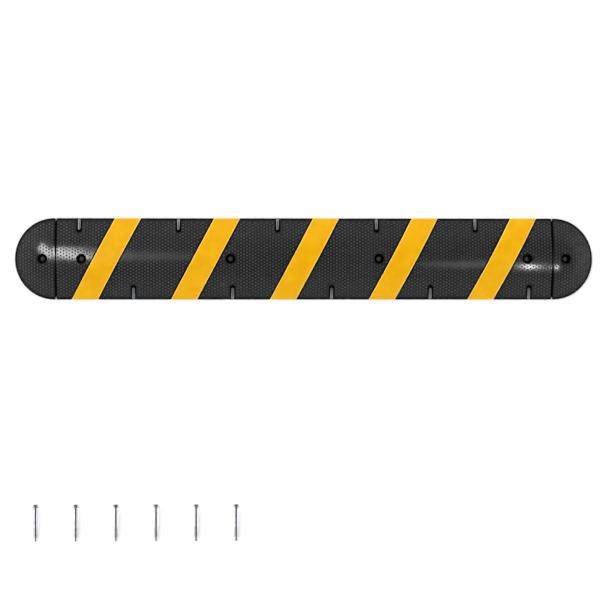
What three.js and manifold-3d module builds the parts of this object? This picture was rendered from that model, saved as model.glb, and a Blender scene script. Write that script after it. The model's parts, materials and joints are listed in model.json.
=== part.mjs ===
// Modular rubber speed bump: a ramped main module, two half-round end caps, five yellow
// marking panels let into the main module, ten reflectors set in slots along its lips, and
// the six sleeve anchors that bolt it down, laid out loose on the ground in front of it.
// Millimetres, +Z up. The origin is the centre of the main module's underside, +X runs
// along the bump and -Y is the side that the loose anchors lie on.
import * as THREE from "three";
import { mergeVertices } from "three/addons/utils/BufferGeometryUtils.js";
import Module from "manifold-3d";

const wasm = await Module();
wasm.setup();

// ---- Driving dimensions -------------------------------------------------------------
const MODULE_LENGTH = 1830;
const HALF_WIDTH = 150;
const HEIGHT = 55;
const RAMP_ANGLE = THREE.MathUtils.degToRad(24.5);
const CROWN_HALF_WIDTH = 90; // the crown is an arc this far each side of the ridge
const LIP_FILLET = 7;
const SEAM_GAP = 4; // between the main module and each end cap
const FLANGE_GAP = 0.3; // between the main module's low end flange and the cap
const FLANGE_HEIGHT = 5;
const FLANGE_INSET = 10; // from the lip to the flange's side

const PANEL_COUNT = 5;
const PANEL_PITCH = MODULE_LENGTH / PANEL_COUNT;
const PANEL_WIDTH = 96; // measured along X
const PANEL_SLANT = THREE.MathUtils.degToRad(62); // from the X axis
const PANEL_THICKNESS = 2.2;
const PANEL_GAP = 0.3; // between a panel and the floor of its recess
const PANEL_SIDE_GAP = 4; // the groove along each slanted edge
const PANEL_FOOT = 2; // height above the ground at which a panel ends

const SLOT_HALF_WIDTH = 10.5;
const SLOT_LENGTH = 54; // from the lip to the end of the round nose
const SLOT_FLOOR = 2; // the floor's height above the ground at the lip
const SLOT_SLOPE = THREE.MathUtils.degToRad(18); // the floor climbs inwards at this angle
const SLOT_OFFSET = 100; // along X, from the middle of the nearest panel
const REFLECTOR_HALF_WIDTH = 6;
const REFLECTOR_HEIGHT = 5;
const REFLECTOR_LENGTH = 42;
const REFLECTOR_INSET = 2; // from the lip
const REFLECTOR_GAP = 0.3; // between a reflector and the floor of its slot

const HOLE_PITCH = 1.5 * PANEL_PITCH;
const CAP_HOLE_INSET = 48; // from the cap's flat face
const HOLE_RADIUS = 8.5;
const SEAT_HEIGHT = 28; // the washer seat's height above the ground
const SEAT_RADIUS = 16;
const MOUTH_RADIUS = 19; // the tapered counterbore's radius at the ridge

const ANCHOR_COUNT = 6;
const ANCHOR_PITCH = 148;
const ANCHOR_FIRST_X = -993;
const ANCHOR_TIP_Y = -1043; // where the cone ends lie
const STUD_RADIUS = 6;
const STUD_CHAMFER = 1;
const CONE_RADIUS = 7.7;
const CONE_RIM = 1.5; // straight length at the cone's wide end
const CONE_LENGTH = 8.5;
const SLEEVE_START = 14.5; // from the cone's wide end
const SLEEVE_LENGTH = 110;
const SLEEVE_RADIUS = 8;
const SLEEVE_BORE = 6.4;
const SLIT_WIDTH = 1.6;
const SLIT_LENGTH = 38;
const SLIT_COUNT = 4;
const WASHER_RADIUS = 14;
const WASHER_THICKNESS = 2;
const SPRING_WASHER_RADIUS = 10;
const SPRING_WASHER_THICKNESS = 2.4;
const SPRING_WASHER_GAP = 2;
const WASHER_BORE = 6.5;
const NUT_FLATS = 19;
const NUT_HEIGHT = 7.6;
const NUT_BORE = 6.3;
const STACK_GAP = 0.3; // between the anchor's pieces

const OVERSHOOT = 8; // how far a cutter runs past the surface that it cuts
const ROUND_SIDES = 16;
const SLOT_SIDES = 16;
const REFLECTOR_SIDES = 12;
const FILLET_STEPS = 4;
const CROWN_STEPS = 8;
const CAP_SIDES = 56; // around a whole turn of the end caps' profile

// ---- Values worked out from them ----------------------------------------------------
const HALF_LENGTH = MODULE_LENGTH / 2;
const CROWN_RADIUS = CROWN_HALF_WIDTH / Math.sin(RAMP_ANGLE);
const CROWN_CENTRE = HEIGHT - CROWN_RADIUS;
const CROWN_RISE = CROWN_RADIUS * (1 - Math.cos(RAMP_ANGLE));
const RAMP_RISE = (HALF_WIDTH - CROWN_HALF_WIDTH) * Math.tan(RAMP_ANGLE);
const LIP_HEIGHT = HEIGHT - CROWN_RISE - RAMP_RISE;
const CAP_FACE = HALF_LENGTH + SEAM_GAP;
const RECESS_DEPTH = PANEL_THICKNESS + PANEL_GAP;
const FLAT_WASHER_START = SLEEVE_START + SLEEVE_LENGTH + STACK_GAP;
const SPRING_WASHER_START = FLAT_WASHER_START + WASHER_THICKNESS + STACK_GAP;
const NUT_START = SPRING_WASHER_START + SPRING_WASHER_THICKNESS + STACK_GAP;
const STUD_LENGTH = NUT_START + NUT_HEIGHT;
const ANCHOR_LEAN = Math.atan((WASHER_RADIUS - CONE_RADIUS) / FLAT_WASHER_START);
const ANCHOR_TIP_Z = CONE_RADIUS * Math.cos(ANCHOR_LEAN);
const HOLE_STEPS = [-1.5, -0.5, 0.5, 1.5];

const RUBBER = new THREE.MeshStandardMaterial({ color: 0x26282a, roughness: 0.45, metalness: 0 });
const YELLOW = new THREE.MeshStandardMaterial({ color: 0xf5b316, roughness: 0.5, metalness: 0 });
const SILVER = new THREE.MeshStandardMaterial({ color: 0xd2d6da, roughness: 0.3, metalness: 0.9 });
const ZINC = new THREE.MeshStandardMaterial({ color: 0xb9bcc0, roughness: 0.28, metalness: 1 });

// ---- Solids -------------------------------------------------------------------------
function solid(geometry) {
  const bare = geometry.clone();
  bare.deleteAttribute("normal");
  bare.deleteAttribute("uv");
  const merged = mergeVertices(bare, 1e-4);
  return new wasm.Manifold(
    new wasm.Mesh({
      numProp: 3,
      vertProperties: new Float32Array(merged.attributes.position.array),
      triVerts: new Uint32Array(merged.index.array),
    }),
  );
}

function mesh(name, shape, material) {
  const { numProp, vertProperties, triVerts } = shape.getMesh();
  const geometry = new THREE.BufferGeometry();
  geometry.setAttribute("position", new THREE.BufferAttribute(vertProperties, numProp));
  geometry.setIndex(new THREE.BufferAttribute(triVerts, 1));
  geometry.computeVertexNormals();
  const made = new THREE.Mesh(geometry, material);
  made.name = name;
  return made;
}

function joined(shapes) {
  return shapes.reduce((all, one) => all.add(one));
}

// An upright cylinder or taper between two heights.
function upright(bottomRadius, topRadius, bottom, top, x = 0, sides = ROUND_SIDES) {
  const geometry = new THREE.CylinderGeometry(topRadius, bottomRadius, top - bottom, sides);
  return solid(geometry.rotateX(Math.PI / 2).translate(x, 0, (bottom + top) / 2));
}

// A closed outline in (y, z), extruded along X between two ends.
function alongX(points, start, end) {
  const outline = new THREE.Shape(points.map(([y, z]) => new THREE.Vector2(y, z)));
  const geometry = new THREE.ExtrudeGeometry(outline, { depth: end - start, bevelEnabled: false });
  geometry.translate(0, 0, start);
  const axes = [new THREE.Vector3(0, 1, 0), new THREE.Vector3(0, 0, 1), new THREE.Vector3(1, 0, 0)];
  return solid(geometry.applyMatrix4(new THREE.Matrix4().makeBasis(...axes)));
}

// ---- The bump's cross-section -------------------------------------------------------
// One side of the outline from the lip up to the ridge, as (y, z), pushed outwards by offset.
function sideOutline(offset, foot) {
  const filletCentre = [
    HALF_WIDTH - LIP_FILLET,
    LIP_HEIGHT - (LIP_FILLET * (1 - Math.sin(RAMP_ANGLE))) / Math.cos(RAMP_ANGLE),
  ];
  const rampNormal = Math.PI / 2 - RAMP_ANGLE;
  const arc = ([y, z], radius, from, to, steps) =>
    Array.from({ length: steps + 1 }, (_, i) => {
      const angle = from + ((to - from) * i) / steps;
      return [y + radius * Math.cos(angle), z + radius * Math.sin(angle)];
    });
  return [
    [HALF_WIDTH + offset, foot],
    ...arc(filletCentre, LIP_FILLET + offset, 0, rampNormal, FILLET_STEPS),
    ...arc([0, CROWN_CENTRE], CROWN_RADIUS + offset, rampNormal, Math.PI / 2, CROWN_STEPS),
  ];
}

// The whole outline from the +Y foot over the ridge to the -Y foot.
function overOutline(offset, foot) {
  const side = sideOutline(offset, foot);
  const mirrored = side.slice(0, -1).map(([y, z]) => [-y, z]);
  return [...side, ...mirrored.reverse()];
}

// The skin between two offsets of the outline, cut to one slanted panel.
function panelSkin(middle, inner, outer, foot, widening) {
  const outline = [...overOutline(outer, foot), ...overOutline(inner, foot).reverse()];
  const reach = HALF_WIDTH + OVERSHOOT;
  const lean = reach / Math.tan(PANEL_SLANT);
  const half = PANEL_WIDTH / 2 + widening;
  const plan = new THREE.Shape([
    new THREE.Vector2(middle - lean - half, -reach),
    new THREE.Vector2(middle - lean + half, -reach),
    new THREE.Vector2(middle + lean + half, reach),
    new THREE.Vector2(middle + lean - half, reach),
  ]);
  const cutter = new THREE.ExtrudeGeometry(plan, { depth: HEIGHT + 2 * OVERSHOOT, bevelEnabled: false });
  const span = lean + half + OVERSHOOT;
  return alongX(outline, middle - span, middle + span).intersect(solid(cutter));
}

const panelMiddles = Array.from(
  { length: PANEL_COUNT },
  (_, i) => (i - (PANEL_COUNT - 1) / 2) * PANEL_PITCH,
);

// A tapered counterbore down to the washer seat, with the anchor's clearance hole below it.
function anchorHole(x) {
  const flare = (MOUTH_RADIUS - SEAT_RADIUS) / (HEIGHT - SEAT_HEIGHT);
  const topRadius = MOUTH_RADIUS + OVERSHOOT * flare;
  return upright(SEAT_RADIUS, topRadius, SEAT_HEIGHT, HEIGHT + OVERSHOOT, x).add(
    upright(HOLE_RADIUS, HOLE_RADIUS, -OVERSHOOT, SEAT_HEIGHT + 1, x),
  );
}

// Lifts a level shape so that its floor climbs inwards from the lip, as the slots' floors do.
function slotShear(side) {
  const climb = Math.tan(SLOT_SLOPE);
  const shear = new THREE.Matrix4();
  return shear.set(1, 0, 0, 0, 0, 1, 0, 0, 0, -side * climb, 1, HALF_WIDTH * climb, 0, 0, 0, 1);
}

// A slot that runs in from the lip on one side and ends in a round nose.
function edgeSlot(x, side) {
  const nose = HALF_WIDTH - SLOT_LENGTH + SLOT_HALF_WIDTH;
  const mouth = HALF_WIDTH + OVERSHOOT;
  const channel = new THREE.BoxGeometry(2 * SLOT_HALF_WIDTH, mouth - nose, HEIGHT);
  const end = new THREE.CylinderGeometry(SLOT_HALF_WIDTH, SLOT_HALF_WIDTH, HEIGHT, SLOT_SIDES);
  const middleHeight = SLOT_FLOOR + HEIGHT / 2;
  const pieces = [
    channel.translate(x, (side * (mouth + nose)) / 2, middleHeight),
    end.rotateX(Math.PI / 2).translate(x, side * nose, middleHeight),
  ];
  return joined(pieces.map((piece) => solid(piece.applyMatrix4(slotShear(side)))));
}

// A low half-round bar with round ends, flat underneath, that lies on a slot's floor.
function reflector(x, side) {
  const straight = REFLECTOR_LENGTH - 2 * REFLECTOR_HALF_WIDTH;
  const capSteps = REFLECTOR_SIDES / 4;
  const bar = new THREE.CapsuleGeometry(REFLECTOR_HALF_WIDTH, straight, capSteps, REFLECTOR_SIDES);
  bar.scale(1, 1, REFLECTOR_HEIGHT / REFLECTOR_HALF_WIDTH);
  const below = new THREE.BoxGeometry(2 * REFLECTOR_LENGTH, 2 * REFLECTOR_LENGTH, HEIGHT);
  below.translate(0, 0, -HEIGHT / 2);
  const middle = side * (HALF_WIDTH - REFLECTOR_INSET - REFLECTOR_LENGTH / 2);
  const [whole, cutter] = [bar, below].map((piece) => {
    piece.translate(x, middle, SLOT_FLOOR + REFLECTOR_GAP);
    return solid(piece.applyMatrix4(slotShear(side)));
  });
  return whole.subtract(cutter);
}

// The low flange under both seams, as one strip along the main module.
function seamFlange() {
  const end = CAP_FACE - FLANGE_GAP;
  const side = HALF_WIDTH - FLANGE_INSET;
  const outline = [[side, 0], [side, FLANGE_HEIGHT], [-side, FLANGE_HEIGHT], [-side, 0]];
  return alongX(outline, -end, end);
}

function mainModule() {
  let body = alongX(overOutline(0, 0), -HALF_LENGTH, HALF_LENGTH).add(seamFlange());
  for (const middle of panelMiddles) {
    const foot = PANEL_FOOT - PANEL_GAP;
    const widening = PANEL_SIDE_GAP / Math.sin(PANEL_SLANT);
    body = body.subtract(panelSkin(middle, -RECESS_DEPTH, OVERSHOOT, foot, widening));
    body = body.subtract(edgeSlot(middle - SLOT_OFFSET, 1));
    body = body.subtract(edgeSlot(middle + SLOT_OFFSET, -1));
  }
  for (const step of HOLE_STEPS) {
    body = body.subtract(anchorHole(step * HOLE_PITCH));
  }
  return body;
}

// Half of the cross-section turned about an upright axis through the seam.
function endCap(side) {
  const profile = [[0, 0], ...sideOutline(0, 0)].map(([y, z]) => new THREE.Vector2(y, z));
  const turned = new THREE.LatheGeometry(profile, CAP_SIDES).rotateX(Math.PI / 2);
  turned.translate(side * CAP_FACE, 0, 0);
  const reach = 2 * HALF_WIDTH;
  const keep = new THREE.BoxGeometry(reach, 2 * reach, reach);
  keep.translate(side * (CAP_FACE + reach / 2), 0, 0);
  const hole = anchorHole(side * (CAP_FACE + CAP_HOLE_INSET));
  return solid(turned).intersect(solid(keep)).subtract(hole);
}

// ---- One sleeve anchor, along its own +Z with the cone's wide end at zero --------------
function stud() {
  const profile = [
    [0, 0],
    [CONE_RADIUS, 0],
    [CONE_RADIUS, CONE_RIM],
    [STUD_RADIUS, CONE_LENGTH],
    [STUD_RADIUS, STUD_LENGTH - STUD_CHAMFER],
    [STUD_RADIUS - STUD_CHAMFER, STUD_LENGTH],
    [0, STUD_LENGTH],
  ].map(([r, z]) => new THREE.Vector2(r, z));
  return solid(new THREE.LatheGeometry(profile, ROUND_SIDES).rotateX(Math.PI / 2));
}

function ring(outer, bore, bottom, top) {
  const inner = upright(bore, bore, bottom - OVERSHOOT, top + OVERSHOOT);
  return upright(outer, outer, bottom, top).subtract(inner);
}

function sleeve() {
  const top = SLEEVE_START + SLEEVE_LENGTH;
  let tube = ring(SLEEVE_RADIUS, SLEEVE_BORE, SLEEVE_START, top);
  const reach = SLEEVE_RADIUS + OVERSHOOT;
  const slit = new THREE.BoxGeometry(SLIT_WIDTH, reach, SLIT_LENGTH + OVERSHOOT);
  slit.translate(0, reach / 2, SLEEVE_START + (SLIT_LENGTH - OVERSHOOT) / 2);
  for (let i = 0; i < SLIT_COUNT; i++) {
    const turn = ((i + 0.5) * 2 * Math.PI) / SLIT_COUNT;
    tube = tube.subtract(solid(slit.clone().rotateZ(turn)));
  }
  return tube;
}

function springWasher() {
  const top = SPRING_WASHER_START + SPRING_WASHER_THICKNESS;
  const cut = new THREE.BoxGeometry(SPRING_WASHER_GAP, SPRING_WASHER_RADIUS, OVERSHOOT);
  cut.rotateY(Math.PI / 6).translate(0, -SPRING_WASHER_RADIUS, (SPRING_WASHER_START + top) / 2);
  return ring(SPRING_WASHER_RADIUS, WASHER_BORE, SPRING_WASHER_START, top).subtract(solid(cut));
}

function nut() {
  const corner = NUT_FLATS / 2 / Math.cos(Math.PI / 6);
  const top = NUT_START + NUT_HEIGHT;
  const hexagon = upright(corner, corner, NUT_START, top, 0, 6);
  const bore = upright(NUT_BORE, NUT_BORE, NUT_START - OVERSHOOT, top + OVERSHOOT);
  return hexagon.subtract(bore);
}

function anchor(index) {
  const name = `anchor_${index + 1}`;
  const pieces = new THREE.Group();
  pieces.add(mesh(`${name}_stud`, stud(), ZINC));
  pieces.add(mesh(`${name}_sleeve`, sleeve(), ZINC));
  const washerTop = FLAT_WASHER_START + WASHER_THICKNESS;
  const flatWasher = ring(WASHER_RADIUS, WASHER_BORE, FLAT_WASHER_START, washerTop);
  pieces.add(mesh(`${name}_flat_washer`, flatWasher, ZINC));
  pieces.add(mesh(`${name}_spring_washer`, springWasher(), ZINC));
  pieces.add(mesh(`${name}_nut`, nut(), ZINC));
  // It lies on the rims of its cone and its flat washer, with the nut towards the bump.
  pieces.rotation.x = ANCHOR_LEAN - Math.PI / 2;
  pieces.position.set(ANCHOR_FIRST_X + index * ANCHOR_PITCH, ANCHOR_TIP_Y, ANCHOR_TIP_Z);
  return pieces;
}

// ---- The assembly -------------------------------------------------------------------
const speedBump = new THREE.Group();
speedBump.add(mesh("main_module", mainModule(), RUBBER));
speedBump.add(mesh("left_end_cap", endCap(-1), RUBBER));
speedBump.add(mesh("right_end_cap", endCap(1), RUBBER));
panelMiddles.forEach((middle, i) => {
  const panel = panelSkin(middle, -PANEL_THICKNESS, 0, PANEL_FOOT, 0);
  speedBump.add(mesh(`marking_panel_${i + 1}`, panel, YELLOW));
  speedBump.add(mesh(`back_reflector_${i + 1}`, reflector(middle - SLOT_OFFSET, 1), SILVER));
  speedBump.add(mesh(`front_reflector_${i + 1}`, reflector(middle + SLOT_OFFSET, -1), SILVER));
});
for (let i = 0; i < ANCHOR_COUNT; i++) speedBump.add(anchor(i));

export default speedBump;
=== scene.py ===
"""Fine meshes, materials, light and camera for the modular rubber speed bump."""
import json
import math

import bmesh
import bpy
import numpy as np
from mathutils import Matrix, Vector


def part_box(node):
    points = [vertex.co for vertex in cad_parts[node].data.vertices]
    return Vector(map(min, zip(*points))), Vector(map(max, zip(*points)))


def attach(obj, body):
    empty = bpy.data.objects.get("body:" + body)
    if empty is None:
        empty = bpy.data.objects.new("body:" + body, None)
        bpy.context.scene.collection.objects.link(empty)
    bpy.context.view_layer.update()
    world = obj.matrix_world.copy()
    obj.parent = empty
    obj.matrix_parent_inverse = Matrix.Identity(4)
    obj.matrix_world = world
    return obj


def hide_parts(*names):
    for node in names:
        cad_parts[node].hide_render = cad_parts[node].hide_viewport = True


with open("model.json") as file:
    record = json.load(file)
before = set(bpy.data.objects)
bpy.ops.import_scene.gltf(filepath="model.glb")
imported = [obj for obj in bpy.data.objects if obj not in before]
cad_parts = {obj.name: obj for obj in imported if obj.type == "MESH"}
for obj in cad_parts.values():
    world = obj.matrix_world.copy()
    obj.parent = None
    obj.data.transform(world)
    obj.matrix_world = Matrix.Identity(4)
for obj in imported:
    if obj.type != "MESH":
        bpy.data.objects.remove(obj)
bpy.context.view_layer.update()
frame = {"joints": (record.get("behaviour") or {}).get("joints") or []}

MM = 0.001

# ---- Sizes of the bump, in metres ------------------------------------------------------
module_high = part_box("main_module")[1]
FLANGE_END = module_high.x  # of the low flange under each seam
HALF_WIDTH = module_high.y
HEIGHT = module_high.z
CAP_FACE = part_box("right_end_cap")[0].x
CAP_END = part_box("right_end_cap")[1].x
SEAM_GAP = 3 * MM
HALF_LENGTH = CAP_FACE - SEAM_GAP
FLANGE_HEIGHT = 5 * MM
FLANGE_INSET = 10 * MM
RAMP_ANGLE = math.radians(24.5)
CROWN_HALF_WIDTH = 90 * MM
LIP_FILLET = 7 * MM
FOOT_ROUND = 0.8 * MM
SEAM_ROUND = 1 * MM  # the moulded edge where the modules meet
CORNER_RADIUS = 5 * MM  # the modules' corners, seen from above

RIM_WIDTH = 7.2 * MM  # of the dull edge all round, whose dark colour is painted shade, seen from above
RAMP_SHARES = (0.05, 0.35, 0.7)  # up the ramp, where its mesh has an edge; the first ends the rim
CAP_TURNS = 72  # steps of the half turn that a cap's outline makes
SUNK_DEPTH = 0.06 * MM  # faces deeper than this under the smooth level get the dull rubber painted dark for shade
SEAM_STEEPNESS = 0.6  # how far along the bump a face looks to get the seam's dull, painted-dark finish

DOT_HEIGHT = 1.2 * MM  # the CAD surface is the level of the dots' tops
DOT_RADIUS = 3.4 * MM
DOT_SINK = 0.6 * MM
DOT_SIDES = 10
DOT_DOME = (32, 62)  # degrees round its side at which the dome has a ring
DOT_COLUMN_PITCH = 10.7 * MM
DOT_ROW_PITCH = 11.55 * MM
DOT_EDGE_MARGIN = 14 * MM
DOT_CLEARANCE = 4.2 * MM  # from a dot's middle to any groove, slot, hole or seam

PANELS = [f"marking_panel_{number}" for number in range(1, 6)]
PANEL_WIDTH = 96 * MM
PANEL_SLANT = math.radians(62)
PANEL_THICKNESS = 2.2 * MM
PANEL_ROUND = 1.1 * MM
PANEL_HIGHLIGHT_WIDTH = 4 * MM  # width of the painted highlight, a paler strip along each slanted edge
PANEL_GAP = 0.3 * MM  # under a panel
RECESS_DEPTH = PANEL_THICKNESS + PANEL_GAP
GROOVE_WIDTH = 5.2 * MM
GROOVE_DEPTH = 6.5 * MM
PANEL_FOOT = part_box(PANELS[0])[0].z
RECESS_FOOT = PANEL_FOOT - PANEL_GAP

SLOT_HALF_WIDTH = 10.5 * MM
SLOT_LENGTH = 54 * MM
SLOT_FLOOR = 2 * MM
SLOT_SLOPE = math.radians(18)
SLOT_OFFSET = 100 * MM
SLOT_WALL = [  # (height over the floor, inset of the wall)
    (0.0, 1.6 * MM), (0.4 * MM, 0.6 * MM), (1.6 * MM, 0.0), (8 * MM, -0.1 * MM), (HEIGHT, -1.2 * MM),
]

REFLECTOR_HALF_WIDTH = 6 * MM
REFLECTOR_HEIGHT = 5 * MM
REFLECTOR_LENGTH = 42 * MM
REFLECTOR_INSET = 2 * MM
REFLECTOR_GAP = 0.3 * MM
REFLECTOR_FOOT = 0.8 * MM  # straight height of its sides
REFLECTOR_DOME = (15, 30, 45, 60, 72, 82)  # degrees at which its round back has a ring

HOLE_RADIUS = 8.5 * MM
HOLE_CHAMFER = 0.8 * MM  # at the ground
SEAT_HEIGHT = 28 * MM
SEAT_RADIUS = 16 * MM
SEAT_BEVEL = 0.6 * MM  # from the seat into the bore
SEAT_FILLET = 1 * MM  # from the seat up into its wall
MOUTH_RADIUS = 19 * MM
CAP_HOLE_INSET = 48 * MM  # from a cap's flat face to its hole

CUTTER_DROP = 5 * MM  # how far a hole's cutter reaches under the ground
CUTTER_RUNOUT = 8 * MM  # how far a cutter stands out of the rubber

# ---- Sizes of one anchor, along its own +Z from the cone's wide end --------------------
NUT_PIVOT = 133 * MM  # how far up the anchor its nut's joint is placed
STUD_RADIUS = 5.95 * MM
STUD_LENGTH = 137.4 * MM
STUD_POINT = [  # (distance from the threaded end, draw-in) of its chamfer
    (1.1 * MM, 0.4 * MM), (0.0, 1.3 * MM),
]
CONE_RADIUS = 7.7 * MM
CONE_LENGTH = 8.5 * MM
CONE_STEP = 0.1 * MM  # from the cone's narrow end down to the rod
CONE_FILLET = 1.2 * MM
CONE_RIM = [  # (height, draw-in) of the cone's rounded wide end
    (0.0, 0.5 * MM), (0.25 * MM, 0.12 * MM), (0.6 * MM, 0.0), (1.5 * MM, 0.1 * MM),
]
THREAD_PITCH = 1.75 * MM
THREAD_DEPTH = 0.95 * MM
THREAD_LENGTH = 34 * MM
THREAD_STEPS = 6  # rings of the mesh in one pitch
THREAD_START = 1 * MM  # plain taper from the rod into the thread
THREAD_STOP = 1.2 * MM  # from the stud's end
SLEEVE_START = 14.5 * MM
SLEEVE_END = 124.5 * MM
SLEEVE_RADIUS = 8 * MM
SLEEVE_BORE = 6.4 * MM
SLEEVE_BEVEL = 0.5 * MM  # at the slit end
SLEEVE_BEVEL_LENGTH = 0.6 * MM
SLEEVE_CHAMFER = 0.3 * MM  # at the nut's end
SLIT_WIDTH = 1.6 * MM
SLIT_LENGTH = 38 * MM
SLIT_COUNT = 4
SLIT_INNER = 4 * MM  # from the axis to where a slit's cutter starts
SLIT_RUNOUT = 2 * MM
WASHER_START = 124.8 * MM
WASHER_THICKNESS = 2 * MM
WASHER_RADIUS = 14 * MM
WASHER_BORE = 6.5 * MM
WASHER_CHAMFER = 0.35 * MM
SPRING_START = 127.1 * MM
SPRING_THICKNESS = 2.4 * MM
SPRING_RADIUS = 10 * MM
SPRING_OPENING = math.radians(14)
SPRING_CHAMFER = 0.3 * MM
SPRING_RISE = 0.25 * MM  # from the middle of the ring to either end
SPRING_SKEW = 0.12  # radians that the cut leans off upright
SPRING_STEPS = 64
NUT_START = 129.8 * MM
NUT_HEIGHT = 7.6 * MM
NUT_FLATS = 19 * MM
NUT_BORE = 6.05 * MM
NUT_BORE_BEVEL = 0.5 * MM
NUT_BORE_BEVEL_LENGTH = 0.6 * MM
NUT_FACE_SHARE = 0.985  # radius of its round end face, as part of half the distance over flats
NUT_CHAMFER_ANGLE = math.radians(28)
NUT_CHAMFER_STEPS = (0.0, 0.34, 0.67, 1.0)

# ---- Camera and light ------------------------------------------------------------------
CAMERA_DISTANCE = 11.0
CAMERA_TILT = math.radians(-2)
VIEW_WIDTH = 2.2225
VIEW_TARGET = Vector((-0.0165, -0.152, 0))
SKY = [  # (angle from the zenith, grey)
    (90, 0.04), (82, 0.08), (78, 1.0), (66, 1.0), (62, 0.05), (49, 0.038), (25, 0.02), (0, 0.016),
]
SKY_STRENGTH = 6.4
KEY_STRENGTH = 0.7
KEY_TILT = math.radians(42)
KEY_SIZE = math.radians(12)
HIGHLIGHTS = [  # (name, x and y of the reflection on the bump, distance, size, watts)
    ("left_light", -0.880, 0.020, 1.3, (0.11, 0.60), 5),
    ("left_cap_light", -0.955, 0.028, 1.3, (0.38, 0.85), 15),
    ("right_light", 0.832, -0.029, 0.4, (0.05, 0.06), 0.42),
    ("right_cap_light", 0.932, -0.031, 0.4, (0.06, 0.045), 0.40),
    ("left_fill_light", -0.60, 0.008, 1.3, (0.45, 0.35), 0.5),
    ("right_fill_light", 0.62, -0.02, 1.3, (0.35, 0.30), 0.6),
]
FLOOR_REACH = 30.0
FLOOR_DROP = 0.2 * MM  # so that the floor and the rubber's underside never share a level

# ---- Values worked out from them -------------------------------------------------------
CROWN_RADIUS = CROWN_HALF_WIDTH / math.sin(RAMP_ANGLE)
CROWN_CENTRE = HEIGHT - CROWN_RADIUS
LIP_HEIGHT = (
    CROWN_CENTRE
    + CROWN_RADIUS * math.cos(RAMP_ANGLE)
    - (HALF_WIDTH - CROWN_HALF_WIDTH) * math.tan(RAMP_ANGLE)
)
PANEL_MIDDLES = [sum(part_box(name), Vector()).x / 2 for name in PANELS]
PANEL_PITCH = PANEL_MIDDLES[1] - PANEL_MIDDLES[0]
HOLE_PITCH = 1.5 * PANEL_PITCH
MODULE_HOLES = [step * HOLE_PITCH for step in (-1.5, -0.5, 0.5, 1.5)]
CAP_HOLE = CAP_FACE + CAP_HOLE_INSET
SLOTS = [(middle - SLOT_OFFSET, 1) for middle in PANEL_MIDDLES]
SLOTS += [(middle + SLOT_OFFSET, -1) for middle in PANEL_MIDDLES]
CAP_CENTRE = CAP_FACE + CORNER_RADIUS  # the axis that the cap's outline is turned about
CAP_SQUEEZE = (CAP_END - CAP_CENTRE) / HALF_WIDTH


# ---- Mesh helpers ----------------------------------------------------------------------
def make_object(name, vertices, faces, material=None, smooth_angle=35):
    """A new mesh object whose edges sharper than smooth_angle stay sharp."""
    data = bpy.data.meshes.new(name)
    data.from_pydata([tuple(v) for v in vertices], [], faces)
    data.validate()
    made = bpy.data.objects.new(name, data)
    bpy.context.scene.collection.objects.link(made)
    finish_mesh(made, material, smooth_angle)
    return made


def finish_mesh(piece, material, smooth_angle=35):
    """Faces turned outwards, shaded smooth up to an angle, with one material."""
    shape = bmesh.new()
    shape.from_mesh(piece.data)
    bmesh.ops.remove_doubles(shape, verts=shape.verts, dist=1e-6)
    bmesh.ops.recalc_face_normals(shape, faces=shape.faces)
    shape.to_mesh(piece.data)
    shape.free()
    piece.data.polygons.foreach_set("use_smooth", [True] * len(piece.data.polygons))
    piece.data.set_sharp_from_angle(angle=math.radians(smooth_angle))
    piece.data.materials.clear()
    if material:
        piece.data.materials.append(material)


def bridge(rings):
    """Quads between closed rings that have the same number of points, plus both end faces."""
    count = len(rings[0])
    vertices = [point for ring in rings for point in ring]
    faces = []
    for level in range(len(rings) - 1):
        for i in range(count):
            j = (i + 1) % count
            a, b = level * count, (level + 1) * count
            faces.append((a + i, a + j, b + j, b + i))
    faces.append(tuple(range(count))[::-1])
    faces.append(tuple(range((len(rings) - 1) * count, len(rings) * count)))
    return vertices, faces


def turned(rows, segments):
    """Rings about +Z. A row is (height, radius), where radius may be a function of the angle."""
    rings = []
    for height, radius in rows:
        ring = []
        for i in range(segments):
            angle = 2 * math.pi * i / segments
            r = radius(angle) if callable(radius) else radius
            ring.append((r * math.cos(angle), r * math.sin(angle), height))
        rings.append(ring)
    return rings


def turned_ring(section, segments):
    """A closed section of (height, radius) points turned about +Z into a ring."""
    rings = turned(section, segments)
    count = len(section)
    vertices = [point for ring in rings for point in ring]
    faces = []
    for row in range(count):
        a, b = row * segments, ((row + 1) % count) * segments
        for i in range(segments):
            j = (i + 1) % segments
            faces.append((a + i, a + j, b + j, b + i))
    return vertices, faces


def applied(piece):
    """Replaces the piece's mesh with the result of its modifiers."""
    graph = bpy.context.evaluated_depsgraph_get()
    result = bpy.data.meshes.new_from_object(piece.evaluated_get(graph))
    piece.modifiers.clear()
    piece.data = result


def combine(piece, others, operation="DIFFERENCE"):
    """Cuts the others out of the piece, or joins them to it, one by one, and deletes them."""
    for other in others:
        change = piece.modifiers.new("combine", "BOOLEAN")
        change.operation = operation
        change.solver = "MANIFOLD"
        change.object = other
        applied(piece)
        bpy.data.objects.remove(other)


def drop_scraps(piece):
    """Deletes the stray faces and edges that cutting leaves, which hang on nothing else."""
    shape = bmesh.new()
    shape.from_mesh(piece.data)
    strays = [face for face in shape.faces if all(edge.is_boundary for edge in face.edges)]
    bmesh.ops.delete(shape, geom=strays, context="FACES")
    loose = [edge for edge in shape.edges if edge.is_wire]
    bmesh.ops.delete(shape, geom=loose, context="EDGES")
    bare = [vertex for vertex in shape.verts if not vertex.link_edges]
    bmesh.ops.delete(shape, geom=bare, context="VERTS")
    shape.to_mesh(piece.data)
    shape.free()


# ---- The bump's cross-section ----------------------------------------------------------
def arc(centre, radius, start, end, steps):
    """Points along an arc, with both of its ends."""
    for i in range(steps + 1):
        angle = start + (end - start) * i / steps
        yield centre[0] + radius * math.cos(angle), centre[1] + radius * math.sin(angle)


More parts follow.
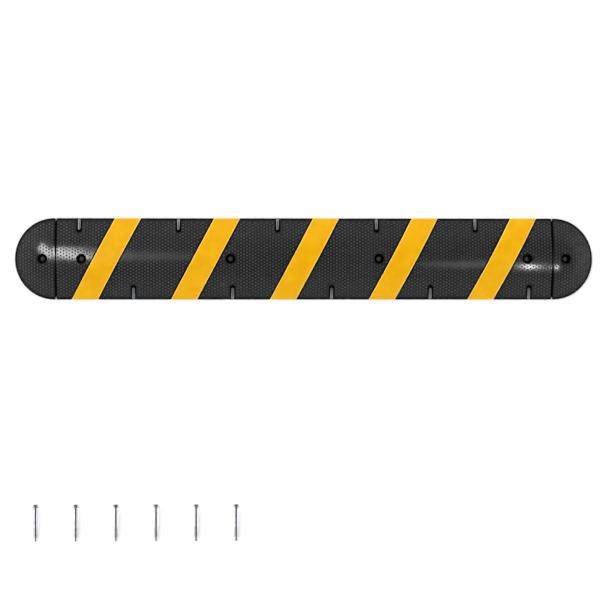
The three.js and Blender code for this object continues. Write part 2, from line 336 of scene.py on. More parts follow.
def side_outline(offset, foot, drop=0.0):
    """(across, height) from the lip's foot up to the ridge, pushed out by offset, lowered by drop."""
    ramp_normal = math.pi / 2 - RAMP_ANGLE
    fillet = (
        HALF_WIDTH - LIP_FILLET,
        LIP_HEIGHT - LIP_FILLET * (1 - math.sin(RAMP_ANGLE)) / math.cos(RAMP_ANGLE),
    )
    points = [(HALF_WIDTH + offset, foot + drop)]
    points += arc(fillet, LIP_FILLET + offset, 0, ramp_normal, 10)
    crown = list(arc((0, CROWN_CENTRE), CROWN_RADIUS + offset, ramp_normal, math.pi / 2, 30))
    start, end = points[-1], crown[0]
    for share in RAMP_SHARES:
        points.append(tuple(np.interp(share, (0, 1), pair) for pair in zip(start, end)))
    return [(y, z - drop) for y, z in points + crown]


def across(outline):
    """Both sides of an outline, from the +Y foot over the ridge to the -Y foot."""
    return outline + [(-y, z) for y, z in outline[-2::-1]]


def surface(distance):
    """Height and slope of the rubber's smooth level at a distance from the ridge."""
    if distance < CROWN_HALF_WIDTH:
        height = CROWN_CENTRE + math.sqrt(CROWN_RADIUS**2 - distance**2)
        slope = math.asin(distance / CROWN_RADIUS)
    else:
        height = LIP_HEIGHT + (HALF_WIDTH - distance) * math.tan(RAMP_ANGLE)
        slope = RAMP_ANGLE
    return height - DOT_HEIGHT, slope


def skin(x, y):
    """The point of the smooth rubber above (x, y), on a module or a cap, and its direction."""
    beyond = max(abs(x) - CAP_CENTRE, 0.0) / CAP_SQUEEZE
    distance = math.hypot(beyond, y)
    height, slope = surface(distance)
    outward = Vector((math.copysign(beyond, x), y, 0)) / max(distance, 1e-9)
    return Vector((x, y, height)), outward * math.sin(slope) + Vector((0, 0, math.cos(slope)))


# ---- Cutters ---------------------------------------------------------------------------
def hole_cutter(x):
    """A bore with a wider seat above it, whose wall flares out to the skin."""
    flare = (MOUTH_RADIUS - SEAT_RADIUS) / (HEIGHT - SEAT_HEIGHT)
    rows = [
        (-CUTTER_DROP, HOLE_RADIUS + HOLE_CHAMFER),
        (HOLE_CHAMFER, HOLE_RADIUS),
        (SEAT_HEIGHT - SEAT_BEVEL, HOLE_RADIUS),
        (SEAT_HEIGHT, HOLE_RADIUS + SEAT_BEVEL),
        (SEAT_HEIGHT, SEAT_RADIUS - SEAT_FILLET),
        (SEAT_HEIGHT + SEAT_FILLET, SEAT_RADIUS),
        (HEIGHT + CUTTER_RUNOUT, MOUTH_RADIUS + flare * CUTTER_RUNOUT),
    ]
    cutter = make_object("hole_cutter", *bridge(turned(rows, 48)))
    cutter.data.transform(Matrix.Translation((x, 0, 0)))
    return cutter


def lifted(out, height):
    """A height over a slot's floor, out from the ridge, as a height above the ground."""
    return SLOT_FLOOR + (HALF_WIDTH - out) * math.tan(SLOT_SLOPE) + height


def slot_cutter(x, side):
    """A flat-floored slot that climbs inwards from the lip and ends in a round nose."""
    nose = HALF_WIDTH - SLOT_LENGTH + SLOT_HALF_WIDTH
    mouth = HALF_WIDTH + CUTTER_RUNOUT
    rings = []
    for height, inset in SLOT_WALL:
        half = SLOT_HALF_WIDTH - inset
        plan = [(half, mouth)]
        plan += [(half * math.cos(t), nose - half * math.sin(t)) for t in np.linspace(0, math.pi, 17)]
        plan.append((-half, mouth))
        rings.append([(x + u, side * out, lifted(out, height)) for u, out in plan])
    return make_object("slot_cutter", *bridge(rings))


def panel_skin(name, middle, depth, widths):
    """The skin down to a depth below the outline, over a slanted band between two widths."""
    loop = across(side_outline(CUTTER_RUNOUT, RECESS_FOOT))
    loop += across(side_outline(-depth, RECESS_FOOT))[::-1]
    rings = []
    for u in widths:
        rings.append([(middle + y / math.tan(PANEL_SLANT) + u, y, z) for y, z in loop])
    return make_object(name, *bridge(rings))


def panel_cutters(middle):
    """A shallow recess under a panel and a deep groove along each of its slanted edges."""
    inner = PANEL_WIDTH / 2
    outer = inner + GROOVE_WIDTH / math.sin(PANEL_SLANT)
    yield panel_skin("recess", middle, RECESS_DEPTH, (-outer, outer))
    yield panel_skin("groove", middle, GROOVE_DEPTH, (inner, outer))
    yield panel_skin("groove", middle, GROOVE_DEPTH, (-outer, -inner))


def seam_flange():
    """The strip whose ends close both seams from below."""
    side = HALF_WIDTH - FLANGE_INSET
    outline = [(side, 0), (side, FLANGE_HEIGHT), (-side, FLANGE_HEIGHT), (-side, 0)]
    rings = [[(x, y, z) for y, z in outline] for x in (-FLANGE_END, FLANGE_END)]
    return make_object("flange", *bridge(rings))


# ---- Rubber modules --------------------------------------------------------------------
def end_steps(steps=6):
    """Along the last stretch before an end face: (inset, side draw-in, top draw-in)."""
    for i in range(steps + 1):
        inset = CORNER_RADIUS * (1 - math.sin(math.pi / 2 * i / steps))
        corner = CORNER_RADIUS - math.sqrt(CORNER_RADIUS**2 - (CORNER_RADIUS - inset) ** 2)
        near = max(SEAM_ROUND - inset, 0.0)
        yield inset, corner, SEAM_ROUND - math.sqrt(SEAM_ROUND**2 - near**2)


def half_loop(corner=0.0, drawn_in=0.0):
    """One side of a module's outline, from the middle of its underside up to the ridge."""
    outline = side_outline(-drawn_in, 0, DOT_HEIGHT)
    foot = outline[0][0]
    points = [(0.0, 0.0), (foot - FOOT_ROUND, 0.0), (foot, FOOT_ROUND)] + outline[1:]
    narrowing = 1 - corner / HALF_WIDTH
    return [(y * narrowing, z) for y, z in points]


def make_main_module(material):
    """The outline drawn out along X, with its flange, recesses, grooves, slots and holes."""
    stations = []
    for inset, corner, drawn in end_steps():
        loop = across(half_loop(corner, drawn)[1:])
        stations += [(side * (HALF_LENGTH - inset), loop) for side in (-1, 1)]
    stations.sort(key=lambda station: station[0])
    rings = [[(x, y, z) for y, z in loop] for x, loop in stations]
    module = make_object("rubber_main_module", *bridge(rings))
    combine(module, [seam_flange()], "UNION")
    for middle in PANEL_MIDDLES:
        combine(module, list(panel_cutters(middle)))
    combine(module, [slot_cutter(x, side) for x, side in SLOTS])
    combine(module, [hole_cutter(x) for x in MODULE_HOLES])
    finish_mesh(module, material)
    drop_scraps(module)
    return module


def make_cap(side, material):
    """Half of the outline turned about the seam, with the edges at the seam rounded."""
    ends = list(end_steps())
    rings = [[(CAP_FACE + inset, y, z) for y, z in half_loop(corner, drawn)]
             for inset, corner, drawn in ends[::-1]]
    for i in range(1, CAP_TURNS):
        angle = math.pi * i / CAP_TURNS
        rings.append([(CAP_CENTRE + CAP_SQUEEZE * y * math.sin(angle), y * math.cos(angle), z)
                      for y, z in half_loop()])
    rings += [[(CAP_FACE + inset, -y, z) for y, z in half_loop(corner, drawn)]
              for inset, corner, drawn in ends]
    count = len(rings[0])
    last = (len(rings) - 1) * count
    faces = [(a + i, a + i + 1, a + count + i + 1, a + count + i)
             for a in range(0, last, count) for i in range(count - 1)]
    faces.append(tuple(range(count)) + tuple(range(last + count - 2, last, -1)))
    vertices = [(side * x, y, z) for ring in rings for x, y, z in ring]
    name = "rubber_right_end_cap" if side > 0 else "rubber_left_end_cap"
    cap = make_object(name, vertices, faces)
    combine(cap, [hole_cutter(side * CAP_HOLE)])
    finish_mesh(cap, material)
    return cap


def mark_shaded_faces(piece, material):
    """Gives the lip, the underside, the seams and every groove, slot and hole the dull rubber whose
    darker colour is painted shade.
    """
    piece.data.materials.append(material)
    for face in piece.data.polygons:
        x, y, z = face.center
        sunk = z < skin(x, y)[0].z - SUNK_DEPTH
        at_rim = z < surface(HALF_WIDTH - RIM_WIDTH)[0]
        at_seam = abs(abs(x) - CAP_FACE) < SEAM_GAP + CORNER_RADIUS
        # the faces chosen here take the dull rubber whose darker colour is painted shade
        if sunk or at_rim or at_seam and abs(face.normal.x) > SEAM_STEEPNESS:
            face.material_index = 1


# ---- Anti-slip dots --------------------------------------------------------------------
def near_panel(x, y):
    reach = PANEL_WIDTH / 2 + (GROOVE_WIDTH + DOT_CLEARANCE) / math.sin(PANEL_SLANT)
    return any(abs(x - y / math.tan(PANEL_SLANT) - middle) < reach for middle in PANEL_MIDDLES)


def near_slot(x, y):
    inner = HALF_WIDTH - SLOT_LENGTH - DOT_CLEARANCE
    reach = SLOT_HALF_WIDTH + DOT_CLEARANCE
    return any(abs(x - at) < reach and y * side > inner for at, side in SLOTS)


def near_hole(x, y, holes):
    return any(math.hypot(x - at, y) < MOUTH_RADIUS + DOT_CLEARANCE for at in holes)


def lattice(low, high):
    """A staggered lattice of (x, y) between two x, with columns that run across the bump."""
    first, last = math.ceil(low / DOT_COLUMN_PITCH), math.floor(high / DOT_COLUMN_PITCH)
    rows = int(HALF_WIDTH / DOT_ROW_PITCH) + 1
    for column in range(first, last + 1):
        shift = 0.5 if column % 2 else 0.0
        for row in range(-rows, rows + 1):
            yield column * DOT_COLUMN_PITCH, (row + shift) * DOT_ROW_PITCH


def module_dots():
    reach = HALF_LENGTH - SEAM_ROUND - DOT_CLEARANCE
    for x, y in lattice(-reach, reach):
        if abs(y) > HALF_WIDTH - DOT_EDGE_MARGIN:
            continue
        if near_panel(x, y) or near_slot(x, y) or near_hole(x, y, MODULE_HOLES):
            continue
        yield skin(x, y)


def cap_dots(side):
    for x, y in lattice(CAP_FACE + SEAM_ROUND + DOT_CLEARANCE, CAP_END):
        out = math.hypot(max(x - CAP_CENTRE, 0.0) / CAP_SQUEEZE, y)
        if out < HALF_WIDTH - DOT_EDGE_MARGIN and not near_hole(x, y, [CAP_HOLE]):
            yield skin(side * x, y)


def dot_shell():
    """The points and faces of one closed dome that stands on the origin, base sunk below it."""
    rows = [(DOT_RADIUS, -DOT_SINK), (DOT_RADIUS, 0.0)]
    rows += [(DOT_RADIUS * math.cos(t), DOT_HEIGHT * math.sin(t)) for t in np.radians(DOT_DOME)]
    around = [2 * math.pi * i / DOT_SIDES for i in range(DOT_SIDES)]
    points = [(r * math.cos(a), r * math.sin(a), h) for r, h in rows for a in around]
    points.append((0, 0, DOT_HEIGHT))
    faces = [tuple(range(DOT_SIDES))[::-1]]
    for level in range(len(rows) - 1):
        for i in range(DOT_SIDES):
            j = (i + 1) % DOT_SIDES
            a, b = level * DOT_SIDES, (level + 1) * DOT_SIDES
            faces.append((a + i, a + j, b + j, b + i))
    top = len(rows) * DOT_SIDES
    last = top - DOT_SIDES
    faces += [(last + i, last + (i + 1) % DOT_SIDES, top) for i in range(DOT_SIDES)]
    return np.array(points), faces


def make_dots(name, dots, material):
    """One mesh of low domes, each standing square on the rubber at its (point, direction)."""
    shell, shell_faces = dot_shell()
    vertices, faces = [], []
    for place, normal in dots:
        turn = Vector((0, 0, 1)).rotation_difference(normal).to_matrix()
        base = len(vertices)
        vertices.extend(shell @ np.array(turn).T + np.array(place))
        faces.extend(tuple(base + i for i in face) for face in shell_faces)
    data = bpy.data.meshes.new(name)
    data.from_pydata(vertices, [], faces)
    made = bpy.data.objects.new(name, data)
    bpy.context.scene.collection.objects.link(made)
    data.polygons.foreach_set("use_smooth", [True] * len(data.polygons))
    data.set_sharp_from_angle(angle=math.radians(60))
    data.materials.append(material)
    return made


# ---- Yellow panels ---------------------------------------------------------------------
def make_panel(name, middle, material):
    """A slanted skin that follows the outline, with its long edges rounded over."""
    half = PANEL_WIDTH / 2
    edge = [(half - PANEL_ROUND * (1 - math.cos(t)), PANEL_ROUND * (math.sin(t) - 1))
            for t in np.linspace(0, math.pi / 2, 5)]
    top = edge + [(half / 2, 0.0), (0.0, 0.0)]
    section = [(half, -PANEL_THICKNESS)] + top + [(-u, w) for u, w in top[-2::-1]]
    section.append((-half, -PANEL_THICKNESS))
    outlines = [across(side_outline(w, PANEL_FOOT)) for _, w in section]
    rings = []
    for i in range(len(outlines[0])):
        ring = []
        for (u, _), outline in zip(section, outlines):
            y, z = outline[i]
            ring.append((middle + y / math.tan(PANEL_SLANT) + u, y, z))
        rings.append(ring)
    return make_object(name, *bridge(rings), material)


# ---- Reflectors ------------------------------------------------------------------------
def make_reflector(name, x, side, material):
    """A low half-round bar with round ends, flat underneath, that lies on its slot's floor."""
    middle = HALF_WIDTH - REFLECTOR_INSET - REFLECTOR_LENGTH / 2
    straight = REFLECTOR_LENGTH / 2 - REFLECTOR_HALF_WIDTH
    rise = REFLECTOR_HEIGHT - REFLECTOR_FOOT
    rows = [(REFLECTOR_HALF_WIDTH, 0.0), (REFLECTOR_HALF_WIDTH, REFLECTOR_FOOT)]
    for t in np.radians(REFLECTOR_DOME):
        rows.append((REFLECTOR_HALF_WIDTH * math.cos(t), REFLECTOR_FOOT + rise * math.sin(t)))
    rings = []
    for half, height in rows:
        ring = []
        for t in np.linspace(0, 2 * math.pi, 48, endpoint=False):
            out = middle + math.copysign(straight, math.sin(t)) + half * math.sin(t)
            place = (x + half * math.cos(t), side * out, lifted(out, REFLECTOR_GAP + height))
            ring.append(place)
        rings.append(ring)
    return make_object(name, *bridge(rings), material)


# ---- Anchor pieces, along their own +Z -------------------------------------------------
def make_stud(material):
    """A rod with an expander cone at its lower end and a screw thread at its upper end."""
    def thread(height):
        def radius(angle):
            turn = (height / THREAD_PITCH - angle / (2 * math.pi)) % 1.0
            return STUD_RADIUS - THREAD_DEPTH * abs(2 * turn - 1)
        return radius

    rows = [(height, CONE_RADIUS - drawn_in) for height, drawn_in in CONE_RIM]
    rows += [
        (CONE_LENGTH, STUD_RADIUS + CONE_STEP),
        (CONE_LENGTH + CONE_FILLET, STUD_RADIUS),
        (STUD_LENGTH - THREAD_LENGTH - THREAD_START, STUD_RADIUS),
    ]
    steps = round(THREAD_LENGTH / THREAD_PITCH * THREAD_STEPS)
    for i in range(steps):
        height = STUD_LENGTH - THREAD_LENGTH + (THREAD_LENGTH - THREAD_STOP) * i / steps
        rows.append((height, thread(height)))
    rows += [(STUD_LENGTH - back, STUD_RADIUS - drawn_in) for back, drawn_in in STUD_POINT]
    return make_object("stud", *bridge(turned(rows, 36)), material, 50)


def make_sleeve(material):
    """A tube whose lower end is slit, so that the cone can spread it."""
    section = [
        (SLEEVE_START, SLEEVE_BORE),
        (SLEEVE_START, SLEEVE_RADIUS - SLEEVE_BEVEL),
        (SLEEVE_START + SLEEVE_BEVEL_LENGTH, SLEEVE_RADIUS),
        (SLEEVE_START + SLIT_LENGTH, SLEEVE_RADIUS),
        (SLEEVE_END - SLEEVE_CHAMFER, SLEEVE_RADIUS),
        (SLEEVE_END, SLEEVE_RADIUS - SLEEVE_CHAMFER),
        (SLEEVE_END, SLEEVE_BORE),
    ]
    sleeve = make_object("sleeve", *turned_ring(section, 48))
    turns = [(i + 0.5) * 2 * math.pi / SLIT_COUNT for i in range(SLIT_COUNT)]
    combine(sleeve, [slit_cutter(turn) for turn in turns])
    finish_mesh(sleeve, material)
    return sleeve


def slit_cutter(turn):
    """A narrow slot with a round inner end, through one wall of the sleeve."""
    half = SLIT_WIDTH / 2
    end = SLEEVE_START + SLIT_LENGTH - half
    outline = [(half, SLEEVE_START - SLIT_RUNOUT)]
    outline += [(half * math.cos(t), end + half * math.sin(t)) for t in np.linspace(0, math.pi, 7)]
    outline.append((-half, SLEEVE_START - SLIT_RUNOUT))
    rings = [[(x, y, z) for x, z in outline] for y in (SLIT_INNER, SLEEVE_RADIUS + SLIT_RUNOUT)]
    cutter = make_object("slit_cutter", *bridge(rings))
    cutter.data.transform(Matrix.Rotation(turn, 4, "Z"))
    return cutter


def make_flat_washer(material):
    """A flat ring with a small chamfer on all four of its edges."""
    bottom, top = WASHER_START, WASHER_START + WASHER_THICKNESS
    small = WASHER_CHAMFER
    section = [
        (bottom, WASHER_BORE + small), (bottom, WASHER_RADIUS - small),
        (bottom + small, WASHER_RADIUS), (top - small, WASHER_RADIUS),
        (top, WASHER_RADIUS - small), (top, WASHER_BORE + small),
        (top - small, WASHER_BORE), (bottom + small, WASHER_BORE),
    ]
    return make_object("flat_washer", *turned_ring(section, 72), material)


def make_spring_washer(material):
    """A split ring that rises slightly from one end of its opening to the other."""
    small = SPRING_CHAMFER
    high = SPRING_THICKNESS / 2 - SPRING_RISE
    low = -high
    corners = [
        (WASHER_BORE, low + small), (WASHER_BORE + small, low), (SPRING_RADIUS - small, low),
        (SPRING_RADIUS, low + small), (SPRING_RADIUS, high - small), (SPRING_RADIUS - small, high),
        (WASHER_BORE + small, high), (WASHER_BORE, high - small),
    ]
    middle = SPRING_START + SPRING_THICKNESS / 2
    rings = []
    for i in range(SPRING_STEPS + 1):
        share = i / SPRING_STEPS
        angle = -math.pi / 2 + SPRING_OPENING / 2 + (2 * math.pi - SPRING_OPENING) * share
        lift = middle + SPRING_RISE * (2 * share - 1)
        skew = SPRING_SKEW if i in (0, SPRING_STEPS) else 0.0
        ring = []
        for r, h in corners:
            turn = angle + skew * h / high
            ring.append((r * math.cos(turn), r * math.sin(turn), lift + h))
        rings.append(ring)
    return make_object("spring_washer", *bridge(rings), material)


def make_nut(material):
    """A hexagon whose corners are chamfered by a cone at both ends, with a bevelled bore."""
    flat = NUT_FLATS / 2
    corner = flat / math.cos(math.pi / 6)
    face = flat * NUT_FACE_SHARE
    drop = (corner - flat) * math.tan(NUT_CHAMFER_ANGLE)

    def hexagon(limit):
        def radius(angle):
            off = (angle % (math.pi / 3)) - math.pi / 6
            return min(flat / math.cos(off), limit)
        return radius

    bottom, top = NUT_START, NUT_START + NUT_HEIGHT
    chamfer = [(t * drop, hexagon(face + (corner - face) * t)) for t in NUT_CHAMFER_STEPS]
    rows = [(bottom, NUT_BORE + NUT_BORE_BEVEL)]
    rows += [(bottom + in_from, radius) for in_from, radius in chamfer]
    rows += [(top - in_from, radius) for in_from, radius in chamfer[::-1]]
    rows.append((top, NUT_BORE + NUT_BORE_BEVEL))
    rows.append((top - NUT_BORE_BEVEL_LENGTH, NUT_BORE))
    rows.append((bottom + NUT_BORE_BEVEL_LENGTH, NUT_BORE))
    return make_object("nut", *turned_ring(rows, 72), material, 22)


# ---- Materials -------------------------------------------------------------------------
class Shader:
    """A material under construction: its nodes, its links and its Principled shader."""

    def __init__(self, name):
        self.material = bpy.data.materials.new(name)
        self.material.use_nodes = True
        self.nodes = self.material.node_tree.nodes
        self.links = self.material.node_tree.links
        self.principled = self.nodes["Principled BSDF"]
        self.place = self.nodes.new("ShaderNodeTexCoord").outputs["Object"]

    def set(self, **values):
        for name, value in values.items():
            self.principled.inputs[name.replace("_", " ")].default_value = value

    def noise(self, scale, detail=3.0, stretch=None):
        """Even noise over the piece, or lines where stretch shrinks one direction."""
        place = self.place
        if stretch:
            mapping = self.nodes.new("ShaderNodeMapping")
            mapping.inputs["Scale"].default_value = stretch
            self.links.new(place, mapping.inputs["Vector"])
            place = mapping.outputs["Vector"]
        node = self.nodes.new("ShaderNodeTexNoise")
        node.inputs["Scale"].default_value = scale
        node.inputs["Detail"].default_value = detail
        node.inputs["Roughness"].default_value = 0.55
        self.links.new(place, node.inputs["Vector"])
        return node.outputs["Fac"]

    def beads(self, scale):
        """Distance from the middle of the nearest of many small cells."""
        node = self.nodes.new("ShaderNodeTexVoronoi")
        node.inputs["Scale"].default_value = scale
        self.links.new(self.place, node.inputs["Vector"])
        return node.outputs["Distance"]

    def ramp(self, value, stops):
        """A colour for a value, from (value, colour) stops."""
        node = self.nodes.new("ShaderNodeValToRGB")
        while len(node.color_ramp.elements) < len(stops):
            node.color_ramp.elements.new(0.5)
        for element, (position, colour) in zip(node.color_ramp.elements, stops):
            element.position = position
            element.color = (*colour, 1.0)
        self.links.new(value, node.inputs["Fac"])
        return node.outputs["Color"]

    def work_out(self, operation, *values):
        """A maths node whose inputs are the outputs of other nodes or plain numbers."""
        node = self.nodes.new("ShaderNodeMath")
        node.operation = operation
        for socket, value in zip(node.inputs, values):
            if isinstance(value, bpy.types.NodeSocket):
                self.links.new(value, socket)
            else:
                socket.default_value = value
        return node.outputs["Value"]

    def blend(self, amount, first, second):
        """From one colour output to a plain second colour as the amount goes from 0 to 1."""
        node = self.nodes.new("ShaderNodeMixRGB")
        self.links.new(amount, node.inputs["Fac"])
        self.links.new(first, node.inputs["Color1"])
        node.inputs["Color2"].default_value = (*second, 1.0)
        return node.outputs["Color"]

    def spread(self, value, low, high, start=0.3, end=0.7):
        """Stretches a value between start and end to lie between low and high."""
        node = self.nodes.new("ShaderNodeMapRange")
        node.inputs["From Min"].default_value = start
        node.inputs["From Max"].default_value = end
        node.inputs["To Min"].default_value = low
        node.inputs["To Max"].default_value = high
        self.links.new(value, node.inputs["Value"])
        return node.outputs["Result"]

    def bump(self, height, strength, distance, under=None):
        node = self.nodes.new("ShaderNodeBump")
        node.inputs["Strength"].default_value = strength
        node.inputs["Distance"].default_value = distance
        self.links.new(height, node.inputs["Height"])
        if under:
            self.links.new(under, node.inputs["Normal"])
        return node.outputs["Normal"]

    def link(self, output, name):
        self.links.new(output, self.principled.inputs[name])


def rubber_material():
    """Black moulded rubber: a wet-looking sheen, faint bloom and a fine cast grain."""
    shader = Shader("black_rubber")
    bloom = shader.noise(7, detail=5)
    black = shader.ramp(bloom, [(0.3, (0.0095, 0.010, 0.011)), (0.7, (0.0135, 0.014, 0.015))])
    shader.link(black, "Base Color")
    shader.link(shader.spread(shader.noise(38, detail=4), 0.16, 0.22), "Roughness")
    grain = shader.bump(shader.noise(1500, detail=2), 0.08, 0.05 * MM)
    shader.link(shader.bump(shader.noise(110, detail=3), 0.08, 0.2 * MM, grain), "Normal")
    shader.set(Specular_IOR_Level=0.5)
    return shader.material


def dot_material():
    """The same rubber on the dots, duller where it is rubbed."""
    shader = Shader("black_rubber_dots")
    wear = shader.noise(14, detail=5)
    black = shader.ramp(wear, [(0.3, (0.0055, 0.006, 0.0065)), (0.7, (0.010, 0.0105, 0.011))])
    shader.link(black, "Base Color")
    shader.link(shader.spread(shader.noise(60, detail=4), 0.45, 0.60), "Roughness")
    shader.link(shader.bump(shader.noise(900, detail=2), 0.15, 0.08 * MM), "Normal")
    shader.set(Specular_IOR_Level=0.4)
    return shader.material


def painted_shade_material():
    """The same rubber, dull and painted darker as shade: the lips, the seams and the walls of every
    hollow.
    """
    shader = Shader("black_rubber_matt_painted_shade")
    shade = shader.noise(30, detail=4)
    # about a third of the rubber's colour: painted shade on the lips, seams and hollows
    black = shader.ramp(shade, [(0.3, (0.003, 0.003, 0.0035)), (0.7, (0.005, 0.005, 0.0055))])
    shader.link(black, "Base Color")
    shader.link(shader.spread(shader.noise(90), 0.75, 0.95), "Roughness")
    shader.link(shader.bump(shader.noise(600, detail=3), 0.3, 0.2 * MM), "Normal")
    shader.set(Specular_IOR_Level=0.0)
    return shader.material


def panel_edge_highlight(shader):
    """How much painted highlight a panel gets: 0.7 along its slanted edges, 0 over the rest of it."""
    split = shader.nodes.new("ShaderNodeSeparateXYZ")
    shader.links.new(shader.place, split.inputs[0])
    x, y = split.outputs["X"], split.outputs["Y"]
    along = shader.work_out("MULTIPLY_ADD", y, -1 / math.tan(PANEL_SLANT), x)
    from_first = shader.work_out("SUBTRACT", along, PANEL_MIDDLES[0])
    distance = shader.work_out("PINGPONG", from_first, PANEL_PITCH / 2)
    start = PANEL_WIDTH / 2 - PANEL_HIGHLIGHT_WIDTH
    return shader.spread(distance, 0.0, 0.7, start, start + PANEL_HIGHLIGHT_WIDTH / 3)


def marking_material():
    """Amber marking film: glass beads in a slightly uneven coat, with a painted highlight that makes
    it paler along its slanted edges.
    """
    shader = Shader("yellow_marking")
    coat = shader.noise(22, detail=5)
    stops = [(0.3, (0.61, 0.295, 0.0005)), (0.5, (0.64, 0.32, 0.001)), (0.72, (0.67, 0.35, 0.002))]
    amber = shader.ramp(coat, stops)
    # the pale cream along the slanted edges is a painted highlight
    shader.link(shader.blend(panel_edge_highlight(shader), amber, (0.88, 0.62, 0.16)), "Base Color")
    shader.link(shader.spread(shader.noise(60), 0.42, 0.56), "Roughness")
    beads = shader.bump(shader.beads(1100), 0.35, 0.15 * MM)
    shader.link(shader.bump(shader.noise(45, detail=3), 0.25, 0.3 * MM, beads), "Normal")
    shader.set(Specular_IOR_Level=0.08)
    return shader.material


def reflector_material():
    """Silvered glass beads: fine bright cells in a cool grey bar."""
    shader = Shader("silver_reflector")
    shader.set(Metallic=0.85)
    tone = shader.noise(260, detail=3)
    silver = shader.ramp(tone, [(0.3, (0.11, 0.12, 0.13)), (0.7, (0.21, 0.22, 0.23))])
    shader.link(silver, "Base Color")
    shader.link(shader.spread(shader.noise(400), 0.28, 0.42), "Roughness")
    shader.link(shader.bump(shader.beads(480), 0.35, 0.3 * MM), "Normal")
    return shader.material


def zinc_material():
    """Bright zinc plate over drawn steel, with fine lines along each piece."""
    shader = Shader("zinc_steel")
    shader.set(Metallic=1.0)
    tone = shader.noise(60, detail=4)
    zinc = shader.ramp(tone, [(0.3, (0.41, 0.42, 0.44)), (0.7, (0.56, 0.57, 0.59))])
    shader.link(zinc, "Base Color")
    shader.link(shader.spread(shader.noise(140), 0.14, 0.26), "Roughness")
    drawn = shader.noise(900, detail=2, stretch=(1.0, 1.0, 0.03))
    shader.link(shader.bump(drawn, 0.12, 0.05 * MM), "Normal")
    return shader.material


# ---- Placing the pieces ----------------------------------------------------------------
def put(piece, body, slot, *nodes):
    """Makes a piece ride a body, in place of the nodes it stands for. The slot is not used."""
    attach(piece, body)
    if nodes:
        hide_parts(*nodes)


def make_rubber(rubber, dots, shaded_rubber):
    module = make_main_module(rubber)
    mark_shaded_faces(module, shaded_rubber)
    put(module, "speed_bump", "black_rubber", "main_module")
    put(make_dots("main_module_dots", module_dots(), dots), "speed_bump", "black_rubber")
    for side, word in ((-1, "left"), (1, "right")):
        cap = make_cap(side, rubber)
        mark_shaded_faces(cap, shaded_rubber)
        put(cap, f"{word}_cap", "black_rubber", f"{word}_end_cap")
        put(make_dots(f"{word}_cap_dots", cap_dots(side), dots), f"{word}_cap", "black_rubber")


def make_markings(yellow, silver):
    for number, middle in enumerate(PANEL_MIDDLES, 1):
        panel = f"marking_panel_{number}"
        put(make_panel(f"film_{panel}", middle, yellow), "speed_bump", "yellow_marking", panel)
        for word, side in (("back", 1), ("front", -1)):
            node = f"{word}_reflector_{number}"
            bar = make_reflector(f"silver_{node}", middle - side * SLOT_OFFSET, side, silver)
            put(bar, "speed_bump", "silver_reflector", node)


def anchor_matrix(anchor):
    """Where an anchor lies: its +Z runs from its cone to its nut."""
    joint = next(j for j in frame["joints"] if j["name"] == f"{anchor}_nut_turn")
    along = -Vector(joint["axis"]).normalized()
    sideways = Vector((1, 0, 0))
    up = along.cross(sideways)
    turn = Matrix((sideways, up, along)).transposed().to_4x4()
    return Matrix.Translation(Vector(joint["pos_m"]) - along * NUT_PIVOT) @ turn


def make_anchors(zinc):
    masters = {
        "stud": (make_stud(zinc), "_stud"),
        "sleeve": (make_sleeve(zinc), ""),
        "flat_washer": (make_flat_washer(zinc), ""),
        "spring_washer": (make_spring_washer(zinc), ""),
        "nut": (make_nut(zinc), "_nut"),
    }
    for number in range(1, 7):
        anchor = f"anchor_{number}"
        place = anchor_matrix(anchor)
        for part, (master, body) in masters.items():
            piece = bpy.data.objects.new(f"zinc_{anchor}_{part}", master.data.copy())
            bpy.context.scene.collection.objects.link(piece)
            piece.matrix_world = place
            put(piece, anchor + body, "zinc_steel", f"{anchor}_{part}")
    for master, _ in masters.values():
        bpy.data.objects.remove(master)


# ---- Floor, light and camera -----------------------------------------------------------
def floor_material():
    """Plain and pale, with a faint glow that evens out the shade beside the bump."""
    shader = Shader("pale_floor")
    white = shader.ramp(shader.noise(3), [(0.3, (0.97, 0.97, 0.97)), (0.7, (0.99, 0.99, 0.99))])
    shader.link(white, "Base Color")
    shader.set(Roughness=0.9, Specular_IOR_Level=0.1)
    shader.set(Emission_Color=(1, 1, 1, 1), Emission_Strength=0.03)
    return shader.material


def make_floor():
    corners = [(-1, -1), (1, -1), (1, 1), (-1, 1)]
    vertices = [(x * FLOOR_REACH, y * FLOOR_REACH, 0) for x, y in corners]
    floor = make_object("floor", vertices, [(0, 1, 2, 3)], floor_material())
    floor.location.z = -FLOOR_DROP


def make_world():
    """A bright ring of soft light low on all sides, under a dimmer ceiling."""
    world = bpy.data.worlds.new("studio")
    bpy.context.scene.world = world
    world.use_nodes = True
    nodes, links = world.node_tree.nodes, world.node_tree.links
    direction = nodes.new("ShaderNodeTexCoord").outputs["Generated"]
    split = nodes.new("ShaderNodeSeparateXYZ")
    links.new(direction, split.inputs[0])
    ramp = nodes.new("ShaderNodeValToRGB")
    while len(ramp.color_ramp.elements) < len(SKY):
        ramp.color_ramp.elements.new(0.5)
    for element, (zenith_angle, grey) in zip(ramp.color_ramp.elements, SKY):
        element.position = math.cos(math.radians(zenith_angle))
        element.color = (grey, grey, grey, 1.0)
    links.new(split.outputs["Z"], ramp.inputs["Fac"])
    links.new(ramp.outputs["Color"], nodes["Background"].inputs["Color"])
    nodes["Background"].inputs["Strength"].default_value = SKY_STRENGTH


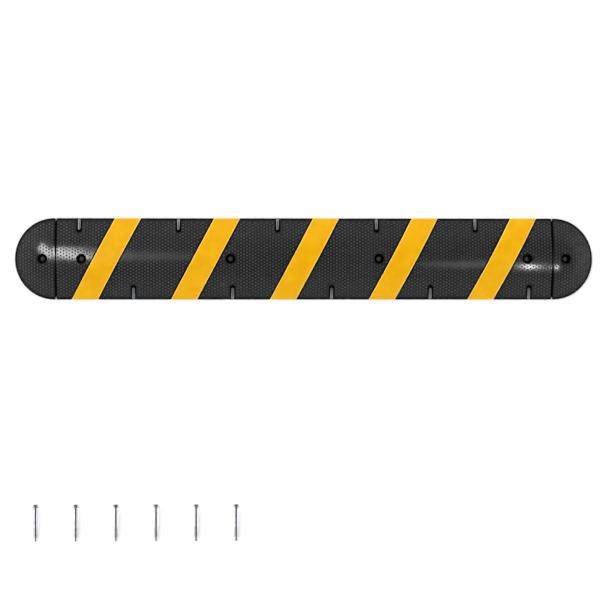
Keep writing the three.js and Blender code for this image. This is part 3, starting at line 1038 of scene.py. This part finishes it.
def mirrored_place(x, y, distance):
    """The rubber's point at (x, y), and the place that it mirrors towards the camera."""
    point, normal = skin(x, y)
    view = (bpy.context.scene.camera.location - point).normalized()
    return point, point + distance * (2 * view.dot(normal) * normal - view)


def make_highlight(name, x, y, distance, size, watts):
    """A soft box that shows only in reflections, and whose own lies on the bump at (x, y)."""
    point, place = mirrored_place(x, y, distance)
    data = bpy.data.lights.new(name, "AREA")
    data.shape = "RECTANGLE"
    data.size, data.size_y = size
    data.energy = watts
    light = bpy.data.objects.new(name, data)
    light.location = place
    light.rotation_euler = (point - place).to_track_quat("-Z", "Y").to_euler()
    light.visible_camera = False
    light.visible_diffuse = False
    bpy.context.scene.collection.objects.link(light)


def make_key_light():
    """A weak soft sun from the upper left, which shades every hollow on one side."""
    data = bpy.data.lights.new("key_light", "SUN")
    data.energy = KEY_STRENGTH
    data.angle = KEY_SIZE
    light = bpy.data.objects.new("key_light", data)
    towards = Vector((-1, 1, math.sqrt(2) / math.tan(KEY_TILT)))
    light.rotation_euler = towards.to_track_quat("Z", "Y").to_euler()
    light.visible_glossy = False
    bpy.context.scene.collection.objects.link(light)


def make_lights():
    make_key_light()
    for highlight in HIGHLIGHTS:
        make_highlight(*highlight)


def make_camera():
    """High above the bump and a little to its left, looking down with +Y up the picture."""
    data = bpy.data.cameras.new("camera")
    data.sensor_width = 36.0
    data.angle = 2 * math.atan(VIEW_WIDTH / 2 / CAMERA_DISTANCE)
    data.clip_end = 100.0
    camera = bpy.data.objects.new("camera", data)
    camera.rotation_euler = (0, CAMERA_TILT, 0)
    towards = Vector((math.sin(CAMERA_TILT), 0, math.cos(CAMERA_TILT)))
    camera.location = VIEW_TARGET + CAMERA_DISTANCE * towards
    bpy.context.scene.collection.objects.link(camera)
    bpy.context.scene.camera = camera


make_camera()
make_rubber(rubber_material(), dot_material(), painted_shade_material())
make_markings(marking_material(), reflector_material())
make_anchors(zinc_material())
make_floor()
make_world()
make_lights()
bpy.context.scene.view_settings.view_transform = "Standard"
